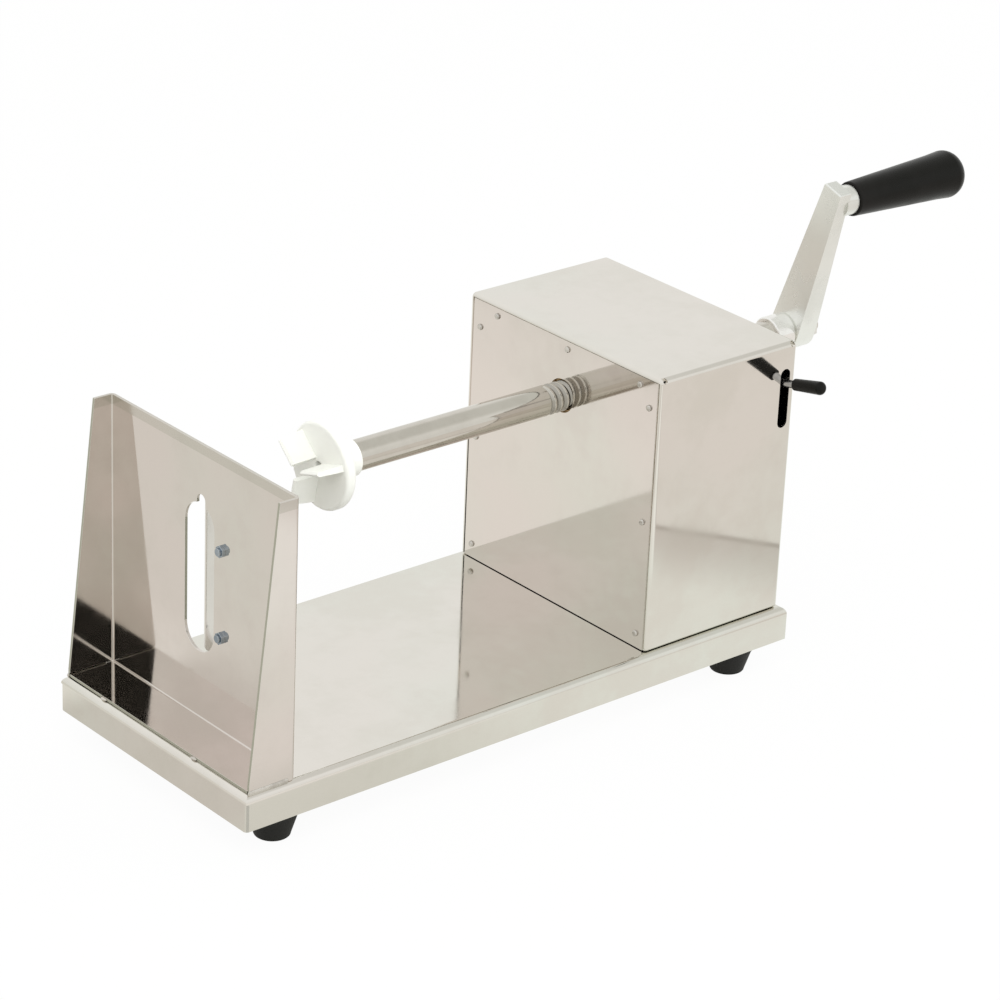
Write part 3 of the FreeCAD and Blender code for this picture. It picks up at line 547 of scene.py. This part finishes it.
softened("blade_screws", 0.12, zinc_plate, segments=1, shaped=short_screw)
softened("blade_nuts", 0.12, zinc_plate, segments=1, shaped=low_nut)
softened("arm_cap_nut", 0.3, cast_aluminium, shaped=low_cap)
for node in ("front_bearing_housing", "rear_bearing_housing"):
    softened(node, 0.5, cast_aluminium)
softened("half_nut", 0.3, bronze)
softened("release_lever", 0.3, dull_steel)
softened("crank_arm", 0.9, cast_aluminium, segments=3)
softened("crank_hub", 0.25, hub_chrome)


def panel_screws(node, side):
    """Small low heads with a sunk middle, on one side of the screws' box: 0 is its front, 1 its rear."""
    bm = node_mesh(node)
    face_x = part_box(node)[side].x
    slimming = 0.36
    heads = [f for f in bm.faces if abs(f.calc_center_median().x - face_x) < 0.02 * MM]
    for head in heads:
        middle = head.calc_center_median()
        for vert in bm.verts:
            away = Vector((0, vert.co.y - middle.y, vert.co.z - middle.z))
            if 1.5 * MM < away.length < 2.6 * MM:
                vert.co -= away * slimming
    for head in heads:
        bmesh.ops.inset_individual(bm, faces=[head], thickness=0.45 * MM, depth=0.0)
        bmesh.ops.poke(bm, faces=[head], offset=-0.35 * MM)
    round_edges(bm, 0.08 * MM, 1)
    finished(node, bm, screw_steel)


panel_screws("front_panel_screws", 0)
panel_screws("rear_panel_screws", 1)


def rubber_foot(node):
    """Tapered foot with a recess for its screw, a rolled lower edge and a moulding line."""
    low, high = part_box(node)
    centre = (low + high) / 2
    tall = (high.z - low.z) / MM
    wide = (high.x - low.x) / MM / 2
    recess_r, recess_top, screw_r = 4.6, 7.0, 2.3
    profile = [(recess_top, recess_r), (0.25, recess_r), (0.0, 4.9)]
    profile += round_end(0.0, 8.9, 1.3, -1)[::-1]
    profile += [(tall - 3.0, wide - 1.1), (tall - 2.6, wide - 0.7), (tall - 0.8, wide - 0.15),
                (tall, wide - 0.6), (tall, screw_r), (recess_top, screw_r), (recess_top, recess_r)]
    bm = bmesh.new()
    turned(bm, profile, 72)
    upright = Matrix.Rotation(math.radians(-90), 3, "Y")
    bmesh.ops.rotate(bm, verts=bm.verts, cent=(0, 0, 0), matrix=upright)
    bmesh.ops.translate(bm, verts=bm.verts, vec=(centre.x, centre.y, low.z))
    finished(node, bm, black_rubber)


for node in ("foot_front_right", "foot_front_left", "foot_rear_right", "foot_rear_left"):
    rubber_foot(node)


# Drive shaft: plain bar with its bore, cut feed thread, plain rear end and stub; all in millimetres.
thread_start = 63.4
thread_end = 207.0
thread_pitch = 4.0
thread_depth = 1.3
run_out = 1.6
bar_r = 7.7
stub_r = 5.0
core_r = 6.0
bore_r = 2.6
bore_depth = 150.0


def feed_thread(bm):
    """Right-hand thread: one pitch of its outline is spun and pushed along at once."""
    root = bar_r - thread_depth
    shoulder = bar_r - 0.12
    outline = [(0.0, root), (0.6, root), (1.7, shoulder), (1.9, bar_r), (2.7, bar_r), (2.9, shoulder),
               (thread_pitch, root)]
    points = [bm.verts.new((x * MM, 0, r * MM)) for x, r in outline]
    edges = [bm.edges.new(pair) for pair in zip(points, points[1:])]
    turns = math.ceil((thread_end - thread_start) / thread_pitch) + 2
    steps_per_turn = 40
    bmesh.ops.spin(bm, geom=points + edges, cent=(0, 0, 0), axis=ALONG_TOOL, angle=math.tau * turns,
                   dvec=ALONG_TOOL * (thread_pitch * MM / steps_per_turn), steps=steps_per_turn * turns,
                   use_merge=False, use_duplicate=False)
    bmesh.ops.remove_doubles(bm, verts=bm.verts, dist=0.01 * MM)
    bmesh.ops.translate(bm, verts=bm.verts, vec=((thread_start - 2 * thread_pitch) * MM, 0, 0))
    overlap = 0.4
    for x, way in ((thread_start - overlap, -1), (thread_end + overlap, 1)):
        made = split_by(bm, (x * MM, 0, 0), (way, 0, 0), clear_outer=True)
        bmesh.ops.edgeloop_fill(bm, edges=[e for e in made if isinstance(e, bmesh.types.BMEdge)])
    # The grooves run out at both ends, to a hair inside the bar
    hair = 0.01 * MM
    for vert in bm.verts:
        radius = math.hypot(vert.co.y, vert.co.z)
        inside = min(vert.co.x / MM - thread_start, thread_end - vert.co.x / MM)
        rise = 1.0 - min(max(inside / run_out, 0.0), 1.0)
        if 0 < radius < bar_r * MM and rise > 0:
            goal = radius + (bar_r * MM - hair - radius) * rise
            vert.co.y *= goal / radius
            vert.co.z *= goal / radius


def paint_groove_shade(bm):
    """Painted shade in the thread's grooves: gives them the value cut, rising with their depth, so a deeper
    groove is darker.
    """
    groove_shade = bm.faces.layers.float.new("cut")
    first_depth, depth_range = 0.25, 0.8
    for face in bm.faces:
        middle = face.calc_center_median()
        depth = bar_r - math.hypot(middle.y, middle.z) / MM
        if thread_start < middle.x / MM < thread_end:
            face[groove_shade] = min(max((depth - first_depth) / depth_range, 0.0), 1.0)


def drive_shaft():
    """The thread between the two plain lengths of the bar, built round the X axis and lifted to its place."""
    bm = bmesh.new()
    front = shaft_low.x / MM
    back = shaft_high.x / MM
    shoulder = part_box("crank_hub")[1].x / MM
    bore_end = front + bore_depth
    core_end = thread_start + 8.0
    feed_thread(bm)
    turned(bm, [(bore_end, 0.0), (bore_end, bore_r), (front + 0.3, bore_r), (front, bore_r + 0.3),
                (front, bar_r - 0.8), (front + 0.8, bar_r), (thread_start, bar_r), (thread_start, core_r),
                (core_end, core_r), (core_end, 0.0)], 96)
    turned(bm, [(thread_end, 0.0), (thread_end, bar_r), (shoulder - 0.2, bar_r), (shoulder, bar_r - 0.2),
                (shoulder, stub_r), (back - 0.3, stub_r), (back, stub_r - 0.3), (back, 0.0)], 96)
    paint_groove_shade(bm)
    bmesh.ops.translate(bm, verts=bm.verts, vec=shaft_axis)
    finished("drive_shaft", bm, shaft_chrome)


drive_shaft()


def return_spring():
    """Wire coil that stretches between the bracket post and the lever post."""
    low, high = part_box("return_spring")
    centre = (low + high) / 2
    wire_r = 0.5 * MM
    coil_r = (high.x - low.x) / 2 - wire_r
    turns = 11
    per_turn = 24
    bm = bmesh.new()
    wire = bmesh.ops.create_circle(bm, radius=wire_r, segments=10)["verts"]
    bmesh.ops.rotate(bm, verts=wire, cent=(0, 0, 0), matrix=Matrix.Rotation(math.radians(90), 3, "X"))
    bmesh.ops.translate(bm, verts=wire, vec=(coil_r, 0, low.z + wire_r))
    rise = (high.z - low.z - 2 * wire_r) / (turns * per_turn)
    bmesh.ops.spin(bm, geom=wire + bm.edges[:], cent=(0, 0, 0), axis=UP, angle=math.tau * turns,
                   dvec=UP * rise, steps=turns * per_turn, use_merge=False, use_duplicate=False)
    bmesh.ops.holes_fill(bm, edges=[e for e in bm.edges if e.is_boundary], sides=12)
    bmesh.ops.recalc_face_normals(bm, faces=bm.faces)
    bmesh.ops.translate(bm, verts=bm.verts, vec=(centre.x, centre.y, 0))
    made = meshed("return_spring_coil", bm, spring_steel, 50.0)
    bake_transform(made)
    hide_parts("return_spring")


return_spring()


def slender_prongs(bm):
    """Slimmer prongs, each scaled in its own directions about the disc's face."""
    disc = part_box("potato_holder")[0].x + 16.0 * MM
    first_prong = 43.0
    for k in range(3):
        turn = Matrix.Rotation(math.radians(first_prong + 120.0 * k), 4, "X")
        way = turn @ Vector((0, 1, 0))
        prong = []
        for vert in bm.verts:
            off_axis = (vert.co - shaft_axis).yz
            on_prong = off_axis.normalized().dot(way.yz) > 0.5 and off_axis.length > 3.6 * MM
            if on_prong and vert.co.x < disc - 0.2 * MM:
                prong.append(vert)
        local = turn.inverted() @ Matrix.Translation((-disc, -shaft_axis.y, -shaft_axis.z))
        bmesh.ops.scale(bm, verts=prong, vec=(0.875, 0.95, 0.72), space=local)


softened("potato_holder", 0.5, white_plastic, segments=3, shaped=slender_prongs)


def crank_grip():
    """Slender barrel with a rolled front edge, a pocket for its spindle and a round closed end."""
    low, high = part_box("crank_grip")
    centre = (low + high) / 2
    length = (high.x - low.x) / MM - 7.0
    small, large = 9.0, 12.6
    bore, pocket = 4.1, length - 11.0
    profile = [(pocket, 0.0), (pocket, bore), (0.2, bore), (0.0, bore + 0.3), (0.0, small - 0.9),
               (0.25, small - 0.25), (0.9, small)]
    profile += [(p, small + (large - small) * p / length) for p in (20.0, 40.0, 60.0)]
    profile += round_end(length, large - 0.08, 8.4, 1, 14) + [(length, 0.0)]
    bm = bmesh.new()
    turned(bm, profile, 96)
    bmesh.ops.translate(bm, verts=bm.verts, vec=(low.x, centre.y, centre.z))
    finished("crank_grip", bm, black_plastic, sharp=50.0)


crank_grip()


def lever_knob():
    """Knob on the lever's tilted rod, a little further out than the solid starts."""
    low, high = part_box("lever_knob")
    tilt = math.radians(13.0)
    out = Vector((0, -math.cos(tilt), math.sin(tilt)))
    length, pocket, bore = 19.6, 18.8, 2.02
    small, large = 3.0, 3.4
    further_out = 2.2
    solid_r = 3.4
    profile = [(pocket, 0.0), (pocket, bore), (0.15, bore), (0.0, bore + 0.15), (0.0, small - 0.35),
               (0.35, small)]
    profile += round_end(length, large, 2.2, 1) + [(length, 0.0)]
    bm = bmesh.new()
    turned(bm, profile, 64)
    bmesh.ops.rotate(bm, verts=bm.verts, cent=(0, 0, 0),
                     matrix=ALONG_TOOL.rotation_difference(out).to_matrix())
    root = Vector(((low.x + high.x) / 2, high.y - solid_r * math.sin(tilt) * MM,
                   low.z + solid_r * math.cos(tilt) * MM))
    root += out * further_out * MM
    bmesh.ops.translate(bm, verts=bm.verts, vec=root)
    finished("lever_knob", bm, black_plastic, sharp=50.0)


lever_knob()


# Welds that hold the stand on the deck
def weld_blob(bm, place, size):
    """Low lumpy weld: a flattened ball with its lower half inside the sheet."""
    made = bmesh.ops.create_icosphere(bm, subdivisions=3, radius=1.0)["verts"]
    for k, vert in enumerate(made):
        vert.co *= 1.0 + 0.09 * math.sin(5.1 * k + 17.0 * vert.co.x)
    bmesh.ops.smooth_vert(bm, verts=made, factor=0.5, use_axis_x=True, use_axis_y=True, use_axis_z=True)
    bmesh.ops.scale(bm, verts=made, vec=Vector(size) * MM)
    bmesh.ops.translate(bm, verts=made, vec=place)


def stand_welds():
    """Two spot welds in front of the stand and a bead along the foot of each flange."""
    bm = bmesh.new()
    spots_y = (-30.3, 42.7)
    for y in spots_y:
        weld_blob(bm, Vector((stand_low.x, y * MM, deck_height + 0.6 * MM)), (1.5, 2.4, 0.9))
    bead_start, bead_step, bead_count = 0.8, 1.35, 16
    for y in (stand_low.y, stand_high.y):
        for k in range(bead_count):
            x = stand_low.x + (bead_start + bead_step * k) * MM
            weld_blob(bm, Vector((x, y, deck_height + 0.5 * MM)), (1.5, 0.6, 1.5))
    piece("stand_welds", bm, "frame", weld_metal, "stainless_sheet", sharp=60.0)


stand_welds()


# Floor, surround, lights and camera
WHITE = (1.0, 1.0, 1.0)
IN_MIRRORS = ("Is Glossy Ray", "Is Transmission Ray")


def light_share(tree, *kinds):
    """1 on rays of these kinds, 0 on the others."""
    path = add(tree, "LightPath")
    total = path.outputs[kinds[0]]
    for kind in kinds[1:]:
        total = math_of(tree, "MAXIMUM", total, path.outputs[kind])
    return total


def mirrored_paper(tree, place):
    """Colour of the paper under the object as the steel shows it; the camera stands on the side of low Y."""
    spot = add(tree, "SeparateXYZ")
    feed(tree, spot.inputs[0], place)
    along, across = spot.outputs["X"], spot.outputs["Y"]
    past = add(tree, "VectorMath", operation="DOT_PRODUCT")
    feed(tree, past.inputs[0], place)
    past.inputs[1].default_value = (0.828, -0.561, 0.0)
    slanted = past.outputs["Value"]

    def where(*slopes):
        """1 where all slopes are past their second value, 0 where one hasn't reached its first."""
        share = fitted(tree, *slopes[0])
        for slope in slopes[1:]:
            share = math_of(tree, "MULTIPLY", share, fitted(tree, *slope))
        return share

    near_base, near_camera, far_side = (0.91, 0.885, 0.84), (1.0, 1.0, 0.96), (0.965, 0.95, 0.895)
    near_side = mixed(tree, where((across, -0.2, -0.3)), near_base, near_camera)
    tone = mixed(tree, where((across, -0.05, 0.05)), near_side, far_side)

    # The edge of a sheet that lies aslant past the gearbox: shade, dark line, then the next sheet
    shade, line, next_sheet = (0.66, 0.605, 0.565), (0.44, 0.39, 0.35), (0.83, 0.785, 0.74)
    tone = mixed(tree, where((slanted, 0.318, 0.235)), shade, tone)
    tone = mixed(tree, where((slanted, 0.3165, 0.3195)), tone, line)
    tone = mixed(tree, where((slanted, 0.322, 0.325)), tone, next_sheet)

    by_gearbox = (0.94, 0.94, 0.90)
    tone = mixed(tree, where((across, -0.135, -0.105), (along, 0.0, 0.2)), tone, by_gearbox)

    # In front of the stand
    front, front_far, front_out = (0.69, 0.66, 0.61), (0.93, 0.91, 0.86), (0.81, 0.79, 0.735)
    front_tone = mixed(tree, where((across, 0.09, 0.12)), front, front_far)
    front_tone = mixed(tree, where((along, -0.2, -0.25)), front_tone, front_out)
    tone = mixed(tree, where((along, -0.12, -0.19)), tone, front_tone)

    beside_base = where((across, -0.15, -0.11), (across, -0.03, -0.07), (along, 0.06, -0.08))
    return mixed(tree, beside_base, tone, (0.76, 0.76, 0.70))


def blended(tree, share, first, second):
    """Shader between two shaders."""
    made = add(tree, "MixShader")
    feed(tree, made.inputs[0], share)
    tree.links.new(first.outputs[0], made.inputs[1])
    tree.links.new(second.outputs[0], made.inputs[2])
    return made


def floor():
    """Large plain floor: white for the camera, toned paper for the mirrors, with the object's shadow."""
    bm = bmesh.new()
    bmesh.ops.create_grid(bm, x_segments=1, y_segments=1, size=6.0)
    mesh = bpy.data.meshes.new("floor")
    bm.to_mesh(mesh)
    bm.free()
    made = linked("floor", mesh)
    paper, tree, shader, place = new_finish("pale floor")
    tone = mixed(tree, noise(tree, place, 3.0, detail=2.0), (0.86, 0.86, 0.85), (0.88, 0.88, 0.87))
    feed(tree, shader.inputs["Base Color"], tone)
    shader.inputs["Roughness"].default_value = 0.9
    shader.inputs["Specular IOR Level"].default_value = 0.1
    seen = add(tree, "Emission")
    seen.inputs["Color"].default_value = (*WHITE, 1.0)
    mirrored = add(tree, "Emission")
    feed(tree, mirrored.inputs["Color"], mirrored_paper(tree, place))
    seen_share, mirrored_share = 0.95, 0.9
    by_camera = blended(tree, part_of(tree, light_share(tree, "Is Camera Ray"), seen_share), shader, seen)
    by_gloss = blended(tree, part_of(tree, light_share(tree, *IN_MIRRORS), mirrored_share), by_camera,
                       mirrored)
    tree.links.new(by_gloss.outputs[0], tree.nodes["Material Output"].inputs["Surface"])
    mesh.materials.append(paper)


floor()


def around(tree, way, aim, wide, core):
    """1 within core degrees of a direction, 0 from wide degrees on."""
    towards = add(tree, "VectorMath", operation="DOT_PRODUCT")
    feed(tree, towards.inputs[0], way)
    towards.inputs[1].default_value = Vector(aim).normalized()
    return fitted(tree, towards.outputs["Value"], math.cos(math.radians(wide)), math.cos(math.radians(core)))


def surround():
    """White studio: plain light for the object, white behind it, and toned walls for the mirrors."""
    world = bpy.data.worlds.new("studio")
    bpy.context.scene.world = world
    world.use_nodes = True
    tree = world.node_tree
    background = tree.nodes["Background"]
    way = add(tree, "TexCoord").outputs["Generated"]
    height = add(tree, "SeparateXYZ")
    feed(tree, height.inputs[0], way)
    low_wall, high_wall, grey_wall = (0.92, 0.92, 0.90), (1.0, 1.0, 0.985), (0.76, 0.76, 0.73)
    walls = mixed(tree, fitted(tree, height.outputs["Z"], 0.0, 0.9), low_wall, high_wall)
    walls = mixed(tree, around(tree, way, (0.65, -0.05, 0.76), 42.0, 20.0), walls, grey_wall)
    walls = mixed(tree, around(tree, way, (-0.60, 0.0, 0.79), 30.0, 12.0), walls, WHITE)

    # A dark lens on the camera's side, which shows only in steel that is seen in other steel
    lens = around(tree, way, (-0.512, -0.735, 0.445), 8.0, 5.0)
    twice = math_of(tree, "GREATER_THAN", add(tree, "LightPath").outputs["Glossy Depth"], 1.5)
    mirrored = mixed(tree, math_of(tree, "MULTIPLY", lens, twice), walls, (0.02, 0.02, 0.018))

    plain = (1.0, 1.0, 0.99)
    lit = mixed(tree, light_share(tree, *IN_MIRRORS), plain, mirrored)
    feed(tree, background.inputs["Color"], mixed(tree, light_share(tree, "Is Camera Ray"), lit, WHITE))
    background.inputs["Strength"].default_value = 1.0


surround()


def softbox(name, place, aim, size, power):
    """Large soft light that isn't seen in the mirrors."""
    lamp = bpy.data.lights.new(name, "AREA")
    lamp.shape = "DISK"
    lamp.size = size
    lamp.energy = power
    made = linked(name, lamp)
    made.location = place
    made.rotation_mode = "QUATERNION"
    made.rotation_quaternion = (Vector(aim) - Vector(place)).to_track_quat("-Z", "Y")
    made.visible_glossy = False


softbox("upper left light", (-0.75, -0.75, 1.45), (0.05, 0, 0.1), 1.4, 8.5)
softbox("right fill light", (1.3, -0.7, 0.9), (0.1, 0, 0.12), 1.2, 3.0)


def camera():
    """The camera that was fitted to the photo."""
    lens = bpy.data.cameras.new("camera")
    lens.sensor_width = 36.0
    lens.lens = 133.28
    lens.clip_start = 0.05
    lens.clip_end = 20.0
    made = linked("camera", lens)
    place = Vector((-1.05705, -1.25714, 0.85516))
    aim = Vector((0.05778, 0.02135, 0.08649))
    facing = (aim - place).to_track_quat("-Z", "Y").to_matrix().to_4x4()
    roll = Matrix.Rotation(math.radians(2.532), 4, "Z")
    made.matrix_world = Matrix.Translation(place) @ facing @ roll
    bpy.context.scene.camera = made


camera()
bpy.context.scene.view_settings.view_transform = "Standard"
